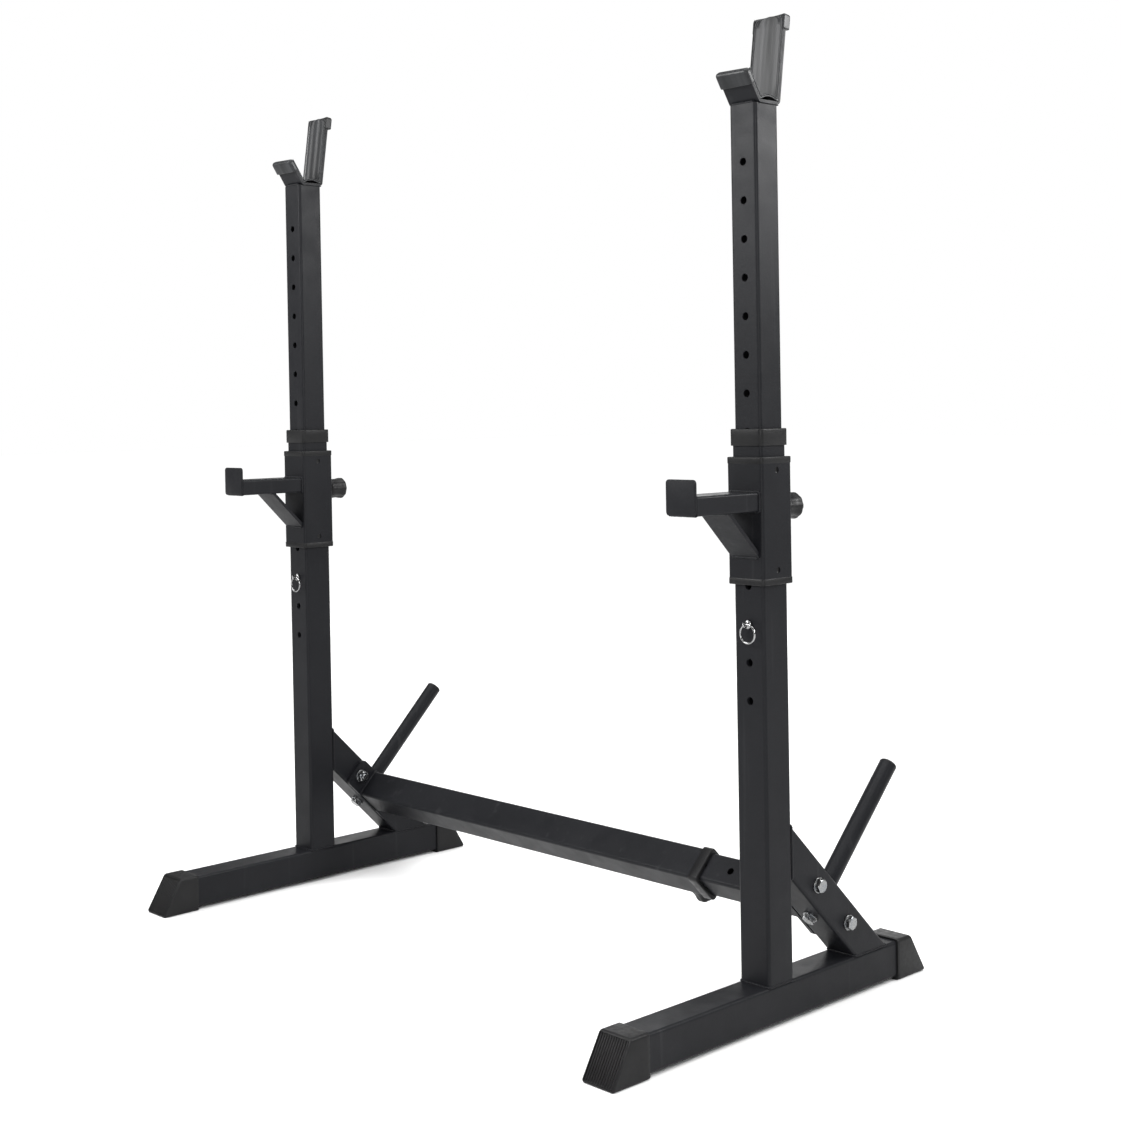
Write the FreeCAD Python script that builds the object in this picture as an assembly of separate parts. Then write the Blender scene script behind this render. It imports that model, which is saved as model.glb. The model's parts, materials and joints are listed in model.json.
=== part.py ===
import FreeCAD, Part
import math
import os

from FreeCAD import Placement, Rotation, Vector

# Adjustable squat stand: two uprights on long feet, joined by a telescoping cross-beam.
# Frame: +Z up, +X from the left stand to the right stand, -Y towards the lifter.
# The origin lies on the floor, midway between the stands and between the feet's ends.

# ---- driving dimensions, millimetres ----
STAND_X = 510.0            # upright centre from the middle of the beam
OUTER, INNER, SLEEVE = 50.0, 45.0, 60.0     # sides of the three square tubes
WALL = 2.0
CORNER_R = 4.5             # outside corner radius of the tubes
PITCH = 50.0               # spacing of the adjustment holes
HOLE_D = 10.5

FOOT_LIFT = 5.0            # underside of the base tube above the floor
BASE_HALF = 275.0          # half length of the base tube
CAP_MOUTH, CAP_TIP, CAP_CREST = 250.0, 313.0, 281.0   # foot cap: open end, toe, top edge
CAP_SIDE, CAP_TOP = 55.0, 57.5
RIBS, RIB_DEPTH, CAP_EDGE, CAP_ROUND = 12, 2.4, 4.0, 2.5   # toe grooves, edge above the sole

UPRIGHT_TOP = 777.0
UPRIGHT_HOLES = (425.0, 725.0)
COLLAR_LOW, COLLAR_SIDE, COLLAR_LIP = 757.0, 55.0, 2.0

UPPER_BOTTOM, UPPER_TOP = 400.0, 1199.5
UPPER_HOLES = (425.0, 1125.0)
RING_PIN_Z = 525.0

CARRIAGE_LOW, CARRIAGE_HIGH = 585.0, 734.0
BUSH_RIM, BUSH_SIDE, BUSH_SKIRT = 8.5, 61.0, 30.0
PEG_Z = (595.5, 725.0)
PEG_D, PEG_SHANK_D, PEG_SUNK = 8.0, 4.2, 0.8     # moulded pegs that hold the bushes
KNOB_Z = 675.0

ARM_W, ARM_H, ARM_TOP, ARM_END = 50.0, 25.0, 697.5, -148.0
END_PLATE_T, END_PLATE_H = 4.0, 46.0
GUSSET_T, GUSSET_REACH = 5.0, 60.0

BRACE_Y, BRACE_Z = 110.0, 137.0     # where brace, horn and beam axes meet; brace slopes 45 deg
FLANGE_BOLT = 45.0                  # flange bolts from that point, along the brace
FLANGE_L, FLANGE_W, FLANGE_T, FLANGE_R = 124.0, 50.0, 6.0, 10.0
HORN_D, HORN_L, HORN_PLUG = 25.0, 200.0, 20.0

BEAM_END, BEAM_COLLAR_START, BEAM_COLLAR_SIDE = 318.0, 303.0, 56.0
BEAM_INNER_START = 60.0
BEAM_KNOB_X = 266.0
BEAM_HOLES_EACH_WAY = 3

CRADLE_W, CRADLE_T, CRADLE_BEND = 50.0, 4.0, 7.0
FRONT_TIP, FRONT_FOOT = (-41.9, 38.5), -17.2     # outer face of the cradle plate: y, z over the tube
REAR_FOOT, REAR_TIP = 23.8, (40.6, 119.5)
LINER_T, LINER_ARCH, LINER_CAP_W, CAP_OVER = 3.0, 5.0, 55.0, 2.5
FRONT_CAP, REAR_CAP = (19.0, 4.5), (19.0, 6.0)   # length down the plate, thickness outside it

BOLT_D, BOLT_HOLE_D, BOLT_HEAD_AF, BOLT_HEAD_H, BOLT_TAIL = 10.0, 10.5, 17.0, 6.5, 3.0
WASHER_D, WASHER_T, NUT_H = 21.0, 2.0, 8.5

# spring plunger, measured along its axis from the tube face that carries it
BARREL_D, BARREL_TOP, PLUNGER_HEX_AF, PLUNGER_HEX_H = 16.0, 26.0, 22.0, 5.0
NOSE_D, NOSE_BORE, SHOULDER_D, CHAMBER_D, ROD_D = 9.6, 10.2, 11.6, 12.4, 7.0
CHAMBER_LOW, CHAMBER_TOP, SHOULDER_T = 4.0, 23.0, 2.0
SPRING_R, SPRING_WIRE_R, SPRING_TURNS = 4.9, 0.5, 6
KNOB_D, KNOB_LOW, KNOB_TOP, KNOB_CEILING, KNOB_BORE = 36.5, 8.0, 41.0, 27.0, 17.6
FLUTES, FLUTE_D, FLUTE_DEPTH = 10, 8.0, 1.1

PIN_D, PIN_BACK, PIN_HEAD_D, PIN_HEAD_T = 9.4, 33.0, 12.0, 4.0
RING_R, RING_WIRE, EYE_R, EYE_OUT = 12.2, 1.4, 2.2, 8.5
RING_LEAN = 22.0           # the pin is turned this far, so its ring hangs off to the right

GAP = 0.3                  # clearance between a guide and what slides in it
HALF = OUTER / 2
X, Y, Z = Vector(1, 0, 0), Vector(0, 1, 0), Vector(0, 0, 1)
UP, DOWN_SLOPE = Vector(0, 1, 1), Vector(0, 1, -1)   # normal to the brace, and down along it
JOIN = Vector(0, BRACE_Y, BRACE_Z)


# ---- building blocks ----
def outline(width, depth, radius):
    """A rectangle in XY, centred on the origin, with round corners."""
    x, y, d = width / 2, depth / 2, radius
    k = d * (1 - math.sqrt(0.5))
    edges = []
    corners = [(x, y, 1, 1), (-x, y, -1, 1), (-x, -y, -1, -1), (x, -y, 1, -1)]
    for i, (cx, cy, sx, sy) in enumerate(corners):
        ends = [Vector(cx, cy - sy * d), Vector(cx - sx * d, cy)]
        if i % 2:
            ends.reverse()
        middle = Vector(cx - sx * k, cy - sy * k)
        edges.append(Part.Arc(ends[0], middle, ends[1]).toShape())
    wire = []
    for this, after in zip(edges, edges[1:] + edges[:1]):
        start, end = this.lastVertex().Point, after.firstVertex().Point
        wire.append(this)
        if start.distanceToPoint(end) > 1e-6:
            wire.append(Part.LineSegment(start, end).toShape())
    return Part.Wire(wire)


def bar(width, depth, radius, length):
    """A solid bar standing on XY along +Z."""
    return Part.Face(outline(width, depth, radius)).extrude(Vector(0, 0, length))


def tube(width, depth, length, wall=WALL, radius=CORNER_R):
    """A hollow rectangular tube standing on XY along +Z."""
    hollow = bar(width - 2 * wall, depth - 2 * wall, radius - wall, length)
    return bar(width, depth, radius, length).cut(hollow)


def rod(diameter, low, high):
    """A round bar on the Z axis from low to high."""
    return Part.makeCylinder(diameter / 2, high - low, Vector(0, 0, low))


def hexagon(across_flats, low, high):
    """A hexagonal bar on the Z axis, with its corners chamfered by a cone at the high end."""
    r = across_flats / math.sqrt(3)
    points = [Vector(r * math.cos(a), r * math.sin(a), low)
              for a in [math.radians(60 * i) for i in range(7)]]
    prism = Part.Face(Part.makePolygon(points)).extrude(Vector(0, 0, high - low))
    rise = high - low + r
    trim = Part.makeCone(across_flats / 2 + rise - r * 0.1, across_flats / 2 - r * 0.1, rise,
                         Vector(0, 0, low))
    trim.translate(Vector(0, 0, high - low - rise + r * 0.1))
    return prism.common(trim)


def placed(shape, point, rotation=Rotation()):
    """A copy of the shape, turned about the origin and then moved to point."""
    out = shape.copy()
    out.Placement = Placement(point, rotation).multiply(shape.Placement)
    return out


def along(shape, point, direction):
    """Turns a shape built along +Z to point along direction, with its origin at point."""
    return placed(shape, point, Rotation(Z, direction))


def turned(shape, axis, degrees):
    """The shape turned about an axis through the origin."""
    return placed(shape, Vector(), Rotation(axis, degrees))


def at(shape, x=0.0, y=0.0, z=0.0):
    return placed(shape, Vector(x, y, z))


def steps(low, high):
    """Positions from low to high at the adjustment pitch."""
    return [low + PITCH * i for i in range(int(round((high - low) / PITCH)) + 1)]


def cross_holes(x, heights, diameter=HOLE_D, reach=40.0):
    """Cutting tools along Y at each height."""
    tool = rod(diameter, -reach, reach)
    return Part.makeCompound([along(tool, Vector(x, 0, z), Y) for z in heights])


def save(name, shape):
    shape.exportStep("parts/" + name + ".step")
    box = shape.BoundBox
    print("%-26s solids %d  volume %9.0f  z %.1f..%.1f"
          % (name, len(shape.Solids), shape.Volume, box.ZMin, box.ZMax))


# ---- feet and fixed frame ----
def foot_cap(sx, sy):
    """A plastic shoe over the end of the base tube, with a ribbed sloping toe."""
    profile = [Vector(0, y, z) for y, z in ((CAP_MOUTH, 0), (CAP_TIP, 0), (CAP_TIP, CAP_EDGE),
                                            (CAP_CREST, CAP_TOP), (CAP_MOUTH, CAP_TOP))]
    face = Part.Face(Part.makePolygon(profile + profile[:1]))
    shoe = at(face.extrude(Vector(CAP_SIDE, 0, 0)), x=-CAP_SIDE / 2)
    mouth = [e for e in shoe.Edges if e.BoundBox.YMax < CAP_MOUTH + 0.1]
    sole = [e for e in shoe.Edges if e.BoundBox.ZMax < 0.1]
    kept = [e for e in shoe.Edges
            if not any(e.isSame(other) for other in mouth + sole)]
    shoe = shoe.makeFillet(CAP_ROUND, kept)
    pocket = along(bar(OUTER, OUTER, CORNER_R, BASE_HALF - CAP_MOUTH + 1),
                   Vector(0, CAP_MOUTH - 1, FOOT_LIFT + HALF), Y)
    shoe = shoe.cut(pocket)
    run, rise = CAP_TIP - CAP_CREST, CAP_TOP - CAP_EDGE
    slope = math.hypot(run, rise)
    lean = Rotation(X, math.degrees(math.atan2(run, rise)))
    pitch = (CAP_SIDE - 2 * CAP_ROUND - 2) / RIBS
    width, margin = pitch * 0.45, 4.5
    groove = Part.makeBox(width, RIB_DEPTH, slope - 2 * margin,
                          Vector(-width / 2, -RIB_DEPTH / 2, margin))
    for i in range(RIBS):
        x = (i - (RIBS - 1) / 2) * pitch
        shoe = shoe.cut(placed(groove, Vector(x, CAP_TIP, CAP_EDGE), lean))
    if sy < 0:
        shoe = shoe.mirror(Vector(), Y)
    return at(shoe, x=sx * STAND_X)


def base_tube(sx):
    body = along(tube(OUTER, OUTER, 2 * BASE_HALF), Vector(0, -BASE_HALF, FOOT_LIFT + HALF), Y)
    return at(body, x=sx * STAND_X)


def upright_tube(sx):
    foot = FOOT_LIFT + OUTER
    body = at(tube(OUTER, OUTER, UPRIGHT_TOP - foot), x=sx * STAND_X, z=foot)
    return body.cut(cross_holes(sx * STAND_X, steps(*UPRIGHT_HOLES)))


def tube_collar(side, outer_tube, inner_tube, length):
    """A plastic cap on the mouth of an outer tube, which guides the inner tube. Its lip is at the top."""
    body = bar(side, side, CORNER_R + 1.5, length + COLLAR_LIP)
    seat = at(bar(outer_tube, outer_tube, CORNER_R, length + 1), z=-1)
    mouth = at(bar(inner_tube + 2 * GAP, inner_tube + 2 * GAP, CORNER_R, length + 10), z=-1)
    return body.cut(seat).cut(mouth)


def rear_brace(sx):
    """The sloping tube behind the upright, cut to lie on the upright and on the base tube."""
    body = placed(at(tube(OUTER, OUTER, 400), z=-200), JOIN + Vector(sx * STAND_X, 0, 0),
                  Rotation(X, -135))
    reach = STAND_X + OUTER
    room = Part.makeBox(2 * reach, 400, 400, Vector(-reach, HALF, FOOT_LIFT + OUTER))
    body = body.common(room)
    for s in (-FLANGE_BOLT, FLANGE_BOLT):
        body = body.cut(flange_rod(sx, s, BOLT_HOLE_D, -HALF - 1, HALF + 1))
    return body.cut(along(rod(BOLT_HOLE_D, -40, 40), JOIN + Vector(sx * STAND_X, 0, 0), UP))


def flange_point(sx, s):
    """The point on the stand's centre plane that a flange bolt crosses."""
    down = Vector(DOWN_SLOPE).normalize()
    return JOIN + Vector(sx * STAND_X, 0, 0) + down * s


def flange_rod(sx, s, diameter, low, high):
    return along(rod(diameter, low, high), flange_point(sx, s), Vector(sx, 0, 0))


def flange_plate(sx):
    """The bolted plate at one end of the beam, flat against the inner side of the brace."""
    plate = turned(bar(FLANGE_W, FLANGE_L, FLANGE_R, FLANGE_T), Y, 90)
    plate = turned(plate, X, -45)
    start = STAND_X - HALF - FLANGE_T if sx > 0 else -(STAND_X - HALF)
    plate = at(plate, start, BRACE_Y, BRACE_Z)
    for s in (-FLANGE_BOLT, FLANGE_BOLT):
        plate = plate.cut(flange_rod(sx, s, BOLT_HOLE_D, -HALF - FLANGE_T - 5, 0))
    return plate


def bolt(grip, thread):
    """A hex bolt with its washer. The washer's underside is at Z = 0 and the shank points down."""
    washer = rod(WASHER_D, 0, WASHER_T).cut(rod(BOLT_D, -1, WASHER_T + 1))
    head = hexagon(BOLT_HEAD_AF, WASHER_T, WASHER_T + BOLT_HEAD_H)
    shank = rod(BOLT_D, -grip - thread, WASHER_T)
    return [head.fuse(shank).removeSplitter(), washer]


def nut(face):
    """A washer and a nut below Z = face."""
    hole = rod(BOLT_D, face - 30, face + 1)
    washer = rod(WASHER_D, face - WASHER_T, face).cut(hole)
    body = turned(hexagon(BOLT_HEAD_AF, 0, NUT_H), X, 180)
    return [washer, at(body, z=face - WASHER_T).cut(hole)]


def brace_fasteners(sx):
    """Two bolts through brace and flange with their nuts, and the bolt that holds the horn."""
    grip = OUTER + FLANGE_T
    flange = Part.makeCompound(bolt(grip, WASHER_T + NUT_H + BOLT_TAIL) + nut(-grip))
    horn = Part.makeCompound(bolt(OUTER, HORN_PLUG - 4))
    out = [along(flange, flange_point(sx, s) + Vector(sx * HALF, 0, 0), Vector(sx, 0, 0))
           for s in (-FLANGE_BOLT, FLANGE_BOLT)]
    down = Vector(UP).normalize() * -HALF
    out.append(along(horn, JOIN + Vector(sx * STAND_X, 0, 0) + down, UP * -1))
    return Part.makeCompound([solid for group in out for solid in group.Solids])


def plate_horn(sx):
    """A round storage horn for weight plates, square to the brace, with a drilled foot plug."""
    body = rod(HORN_D, 0, HORN_L).cut(rod(HORN_D - 2 * WALL, HORN_PLUG, HORN_L + 1))
    body = body.cut(rod(BOLT_D, -1, HORN_PLUG + 1))
    return place_horn(sx, body)


def horn_cap(sx):
    """The plastic plug in the horn's open end, with a domed rim."""
    rim = rod(HORN_D, HORN_L, HORN_L + 3.5)
    rim = rim.makeFillet(2.0, [e for e in rim.Edges if e.BoundBox.ZMin > HORN_L + 3])
    return place_horn(sx, rim.fuse(rod(HORN_D - 2 * WALL, HORN_L - 14, HORN_L)).removeSplitter())


def place_horn(sx, shape):
    foot = JOIN + Vector(sx * STAND_X, 0, 0) + Vector(UP).normalize() * HALF
    return along(shape, foot, UP)


# ---- cross-beam ----
def beam_pose(shape, start):
    """Lays a shape built along +Z along the beam from X = start, with its section on edge."""
    return at(turned(turned(shape, Y, 90), X, 45), start, BRACE_Y, BRACE_Z)


def beam(side, start, end, places, drill):
    """A square tube along X, turned 45 degrees about its axis, and drilled down the slope."""
    body = beam_pose(tube(side, side, end - start), start)
    for x in places:
        body = body.cut(along(drill, JOIN + Vector(x, 0, 0), DOWN_SLOPE))
    return body


def beam_collar():
    body = tube_collar(BEAM_COLLAR_SIDE, OUTER, INNER, BEAM_END - BEAM_COLLAR_START)
    return beam_pose(body, BEAM_COLLAR_START)


# ---- telescoping upright and bar cradle ----
def upper_tube(sx):
    body = at(tube(INNER, INNER, UPPER_TOP - UPPER_BOTTOM), x=sx * STAND_X, z=UPPER_BOTTOM)
    return body.cut(cross_holes(sx * STAND_X, steps(*UPPER_HOLES)))


def offset_path(points, distance):
    """The polyline shifted to its left by distance, with mitred corners."""
    out = []
    for i, p in enumerate(points):
        normals = []
        for a, b in ((i - 1, i), (i, i + 1)):
            if 0 <= a and b < len(points):
                d = (points[b] - points[a]).normalize()
                normals.append(Vector(0, -d.z, d.y))
        middle = normals[0] + normals[-1]
        middle.normalize()
        out.append(p + middle * (distance / middle.dot(normals[0])))
    return out


def strip(points, thickness, width):
    """A bent strip across X: the path is its outer face, and its thickness lies to the left."""
    loop = points + offset_path(points, thickness)[::-1]
    face = Part.Face(Part.makePolygon(loop + loop[:1]))
    return at(face.extrude(Vector(width, 0, 0)), x=-width / 2)


def cradle_path():
    """Underside of the cradle plate from its front tip to its rear tip, in the stand's YZ plane."""
    return [Vector(0, y, UPPER_TOP + z)
            for y, z in (FRONT_TIP, (FRONT_FOOT, 0), (REAR_FOOT, 0), REAR_TIP)]


def cradle_plate():
    path = cradle_path()
    plate = strip(path, CRADLE_T, CRADLE_W)
    bends = [e for e in plate.Edges
             if e.BoundBox.XLength > CRADLE_W - 1
             and min(e.CenterOfMass.distanceToPoint(p) for p in path[1:3]) < 0.1]
    return plate.makeFillet(CRADLE_BEND, bends)


def cradle_liner():
    """A rubber lining with an arched floor, and a cap over each tip of the plate."""
    path = offset_path(cradle_path(), CRADLE_T)
    arch = (path[1] + path[2]) * 0.5 + Vector(0, 0, LINER_ARCH)
    body = strip(path[:2] + [arch] + path[2:], LINER_T, CRADLE_W)
    for tip, inner, (length, cover) in ((0, 1, FRONT_CAP), (3, 2, REAR_CAP)):
        way = (cradle_path()[tip] - cradle_path()[inner]).normalize()
        depth = cover + CRADLE_T + LINER_T
        block = bar(LINER_CAP_W, depth, 1.5, length)
        side = 1 if tip == 0 else -1
        block = at(block, y=side * (depth / 2 - cover), z=CAP_OVER - length)
        turn = math.degrees(math.atan2(-way.y, way.z))
        body = body.fuse(placed(block, cradle_path()[tip], Rotation(X, turn)))
    return body.cut(cradle_plate()).removeSplitter()


# ---- carriage with the spotter arm ----
def carriage_sleeve(sx):
    body = at(tube(SLEEVE, SLEEVE, CARRIAGE_HIGH - CARRIAGE_LOW), z=CARRIAGE_LOW)
    body = body.cut(along(rod(BARREL_D, 20, 40), Vector(0, 0, KNOB_Z), Y))
    for z in PEG_Z:
        body = body.cut(along(rod(PEG_D, -40, 40), Vector(0, 0, z), X))
    return at(body, x=sx * STAND_X)


def sleeve_bush(sx, top):
    """A plastic guide pressed into one end of the sleeve. It slides on the upright."""
    hollow = SLEEVE - 2 * WALL
    body = bar(BUSH_SIDE, BUSH_SIDE, CORNER_R, BUSH_RIM)
    body = body.fuse(at(bar(hollow, hollow, CORNER_R - WALL, BUSH_SKIRT), z=-BUSH_SKIRT))
    way = OUTER + 2 * GAP
    body = body.cut(at(bar(way, way, CORNER_R, 100), z=-50)).removeSplitter()
    if top:
        body = at(body, z=CARRIAGE_HIGH)
    else:
        body = at(turned(body, X, 180), z=CARRIAGE_LOW)
    height = PEG_Z[1] if top else PEG_Z[0]
    body = body.cut(along(rod(PEG_SHANK_D, -40, 40), Vector(0, 0, height), X))
    return at(body, x=sx * STAND_X)


def bush_pegs(sx):
    """Moulded pegs pushed through the sleeve's side walls into the bushes, with sunk dished heads."""
    reach, dish = SLEEVE / 2, PEG_D / 2 - 1
    head = rod(PEG_D, reach - WALL, reach - PEG_SUNK)
    head = head.cut(Part.makeCone(0, dish, dish / 4, Vector(0, 0, reach - PEG_SUNK - dish / 4)))
    one = head.fuse(rod(PEG_SHANK_D, HALF + GAP + 0.2, reach - WALL)).removeSplitter()
    return Part.makeCompound([along(one, Vector(sx * STAND_X, 0, z), Vector(way, 0, 0))
                              for z in PEG_Z for way in (-1, 1)])


def spotter_arm(sx):
    start = -SLEEVE / 2
    body = along(tube(ARM_W, ARM_H, start - ARM_END, radius=3.0), Vector(), Y)
    return at(body, sx * STAND_X, ARM_END, ARM_TOP - ARM_H / 2)


def arm_end_plate(sx):
    plate = along(bar(ARM_W, END_PLATE_H, 4.0, END_PLATE_T), Vector(), Y)
    return at(plate, sx * STAND_X, ARM_END - END_PLATE_T, ARM_TOP - ARM_H + END_PLATE_H / 2)


def arm_gusset(sx):
    """A flat strap from under the arm down to the front of the sleeve, mitred to both."""
    low, front = ARM_TOP - ARM_H, -SLEEVE / 2
    t = GUSSET_T * math.sqrt(2)
    points = [Vector(0, front - GUSSET_REACH, low), Vector(0, front, low - GUSSET_REACH),
              Vector(0, front, low - GUSSET_REACH + t), Vector(0, front - GUSSET_REACH + t, low)]
    face = Part.Face(Part.makePolygon(points + points[:1]))
    return at(face.extrude(Vector(ARM_W - 2, 0, 0)), x=sx * STAND_X - ARM_W / 2 + 1)


# ---- spring plungers ----
def plunger_housing():
    """A barrel with a hex seat. Its chamber holds the spring, and its neck guides the rod."""
    body = rod(BARREL_D, -WALL, BARREL_TOP).fuse(hexagon(PLUNGER_HEX_AF, 0, PLUNGER_HEX_H))
    body = body.cut(rod(NOSE_BORE, -WALL - 1, CHAMBER_LOW + 1))
    body = body.cut(rod(CHAMBER_D, CHAMBER_LOW, CHAMBER_TOP))
    return body.cut(rod(ROD_D + 0.4, CHAMBER_TOP - 1, BARREL_TOP + 1)).removeSplitter()


def plunger_pin(tip):
    """The locking pin: a chamfered nose, a shoulder under the spring, and a rod into the knob."""
    low = CHAMBER_LOW + GAP
    nose = rod(NOSE_D, tip, low)
    nose = nose.makeChamfer(1.2, [e for e in nose.Edges if e.BoundBox.ZMax < tip + 0.1])
    body = nose.fuse(rod(SHOULDER_D, low, low + SHOULDER_T))
    return body.fuse(rod(ROD_D, low + SHOULDER_T, KNOB_TOP - 4)).removeSplitter()


def plunger_spring():
    """A coil spring between the pin's shoulder and the chamber's top."""
    seat = SPRING_WIRE_R + 0.1
    low = CHAMBER_LOW + GAP + SHOULDER_T + seat
    height = CHAMBER_TOP - seat - low
    helix = Part.makeLongHelix(height / SPRING_TURNS, height, SPRING_R)
    lead = Vector(0, 2 * math.pi * SPRING_R, height / SPRING_TURNS)
    section = Part.Wire(Part.makeCircle(SPRING_WIRE_R, Vector(SPRING_R, 0, 0), lead))
    coil = Part.Wire(helix.Edges).makePipeShell([section], True, True)
    return at(coil, z=low)


def plunger_knob():
    """A fluted pull knob, hollow below so that it clears the housing."""
    body = rod(KNOB_D, KNOB_LOW, KNOB_TOP)
    body = body.makeFillet(3.0, [e for e in body.Edges if e.BoundBox.ZMin > KNOB_TOP - 0.1])
    r = (KNOB_D + FLUTE_D) / 2 - FLUTE_DEPTH
    flute = rod(FLUTE_D, KNOB_LOW - 1, KNOB_TOP + 1)
    for i in range(FLUTES):
        a = 2 * math.pi * i / FLUTES
        body = body.cut(at(flute, r * math.cos(a), r * math.sin(a)))
    body = body.cut(rod(KNOB_BORE, KNOB_LOW - 1, KNOB_CEILING))
    return body.cut(rod(ROD_D, KNOB_CEILING - 1, KNOB_TOP - 4))


def save_plunger(prefix, point, direction, tip):
    save(prefix + "_plunger_housing", along(plunger_housing(), point, direction))
    save(prefix + "_plunger_pin", along(plunger_pin(tip), point, direction))
    save(prefix + "_plunger_spring", along(plunger_spring(), point, direction))
    save(prefix + "_knob", along(plunger_knob(), point, direction))


# ---- ring pins ----
def ring_pin(sx):
    """The height pin: a shank through both tubes, a head, and a flat eye for the ring."""
    face = HALF + 0.2
    body = rod(PIN_D, -PIN_BACK, face)
    body = body.makeChamfer(1.5, [e for e in body.Edges if e.BoundBox.ZMax < 0.1 - PIN_BACK])
    body = body.fuse(rod(PIN_HEAD_D, face, face + PIN_HEAD_T))
    out = face + PIN_HEAD_T + EYE_OUT
    lug = bar(5.0, 9.0, 1.0, out - face - 1)
    body = body.fuse(at(lug, z=face + 1))
    eye = along(Part.makeCylinder(EYE_R, 20, Vector(0, 0, -10)), Vector(0, 0, out - EYE_OUT / 2), X)
    body = along(body.cut(eye).removeSplitter(), Vector(), Vector(0, -1, 0))
    return at(turned(body, Y, -RING_LEAN), sx * STAND_X, 0, RING_PIN_Z)


def pull_ring(sx):
    """A split ring hanging from the pin's eye, parallel to the upright's face."""
    y = -(HALF + 0.2 + PIN_HEAD_T + EYE_OUT / 2)
    ring = turned(Part.makeTorus(RING_R, RING_WIRE, Vector(0, y, -RING_R), Y), Y, -RING_LEAN)
    return at(ring, sx * STAND_X, 0, RING_PIN_Z)


# ---- assembly ----
def build_side(side, sx):
    x = sx * STAND_X
    save(side + "_base_tube", base_tube(sx))
    save(side + "_front_foot_cap", foot_cap(sx, -1))
    save(side + "_rear_foot_cap", foot_cap(sx, 1))
    save(side + "_upright_tube", upright_tube(sx))
    collar = tube_collar(COLLAR_SIDE, OUTER, INNER, UPRIGHT_TOP - COLLAR_LOW)
    save(side + "_upright_collar", at(collar, x=x, z=COLLAR_LOW))
    save(side + "_rear_brace", rear_brace(sx))
    save(side + "_flange_plate", flange_plate(sx))
    save(side + "_brace_fasteners", brace_fasteners(sx))
    save(side + "_plate_horn", plate_horn(sx))
    save(side + "_horn_cap", horn_cap(sx))
    save(side + "_upper_tube", upper_tube(sx))
    save(side + "_bar_cradle", at(cradle_plate(), x=x))
    save(side + "_cradle_liner", at(cradle_liner(), x=x))
    save(side + "_carriage_sleeve", carriage_sleeve(sx))
    save(side + "_sleeve_top_bush", sleeve_bush(sx, True))
    save(side + "_sleeve_bottom_bush", sleeve_bush(sx, False))
    save(side + "_bush_pegs", bush_pegs(sx))
    save(side + "_spotter_arm", spotter_arm(sx))
    save(side + "_arm_end_plate", arm_end_plate(sx))
    save(side + "_arm_gusset", arm_gusset(sx))
    tip = HALF + GAP - SLEEVE / 2
    save_plunger(side + "_carriage", Vector(x, SLEEVE / 2, KNOB_Z), Y, tip)
    save(side + "_ring_pin", ring_pin(sx))
    save(side + "_pull_ring", pull_ring(sx))


def build_beam():
    inner_face = STAND_X - HALF - FLANGE_T
    seat = rod(BARREL_D, 0, OUTER)
    save("beam_outer_tube", beam(OUTER, -inner_face, BEAM_END, [BEAM_KNOB_X], seat))
    span = BEAM_HOLES_EACH_WAY * PITCH
    places = steps(BEAM_KNOB_X - span, BEAM_KNOB_X + span)
    through = rod(HOLE_D, -OUTER, OUTER)
    save("beam_inner_tube", beam(INNER, BEAM_INNER_START, inner_face, places, through))
    save("beam_collar", beam_collar())
    face = JOIN + Vector(BEAM_KNOB_X, 0, 0) + Vector(DOWN_SLOPE).normalize() * HALF
    save_plunger("beam", face, DOWN_SLOPE, INNER / 2 - WALL - 4.5 - HALF)


os.makedirs("parts", exist_ok=True)
for side_name, side_sign in (("left", -1), ("right", 1)):
    build_side(side_name, side_sign)
build_beam()
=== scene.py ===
import json
import math
import random

import bmesh
import bpy
from mathutils import Matrix, Vector


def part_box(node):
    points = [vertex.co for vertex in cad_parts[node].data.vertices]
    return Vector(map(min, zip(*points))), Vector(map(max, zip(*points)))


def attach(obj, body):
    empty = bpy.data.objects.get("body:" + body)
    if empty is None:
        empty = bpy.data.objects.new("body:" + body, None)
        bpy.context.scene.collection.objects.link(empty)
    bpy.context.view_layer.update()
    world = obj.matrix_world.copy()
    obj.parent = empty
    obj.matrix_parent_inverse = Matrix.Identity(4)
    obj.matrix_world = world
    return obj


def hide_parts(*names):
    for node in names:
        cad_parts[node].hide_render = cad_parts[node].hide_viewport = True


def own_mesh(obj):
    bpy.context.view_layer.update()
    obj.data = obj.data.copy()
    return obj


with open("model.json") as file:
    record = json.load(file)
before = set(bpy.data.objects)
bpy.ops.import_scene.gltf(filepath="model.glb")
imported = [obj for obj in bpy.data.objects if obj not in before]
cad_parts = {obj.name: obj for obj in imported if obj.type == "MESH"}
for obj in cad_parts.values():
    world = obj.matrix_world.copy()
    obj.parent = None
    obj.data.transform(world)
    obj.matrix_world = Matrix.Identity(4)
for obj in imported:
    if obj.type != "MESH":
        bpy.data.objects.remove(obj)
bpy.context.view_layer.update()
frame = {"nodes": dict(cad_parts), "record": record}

# Looks for an adjustable squat stand. Shapes are drawn in millimetres and stored in metres.
# X runs from the left stand to the right one, -Y is the lifter's side, and Z is up.
MM = 0.001
SIDES = {"left": -1, "right": 1}
X_AXIS, Y_AXIS, Z_AXIS = Vector((1, 0, 0)), Vector((0, 1, 0)), Vector((0, 0, 1))

# camera: place in metres, angles in degrees, lens in millimetres
CAMERA_PLACE = (1.98997, -1.74222, 0.81402)
CAMERA_AZIMUTH, CAMERA_DIP, CAMERA_ROLL = 46.842, 0.862, -0.997
CAMERA_LENS, CAMERA_SHIFT_UP = 55.84, -0.1153
CAMERA_NEAR, CAMERA_FAR = 0.05, 100.0

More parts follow.
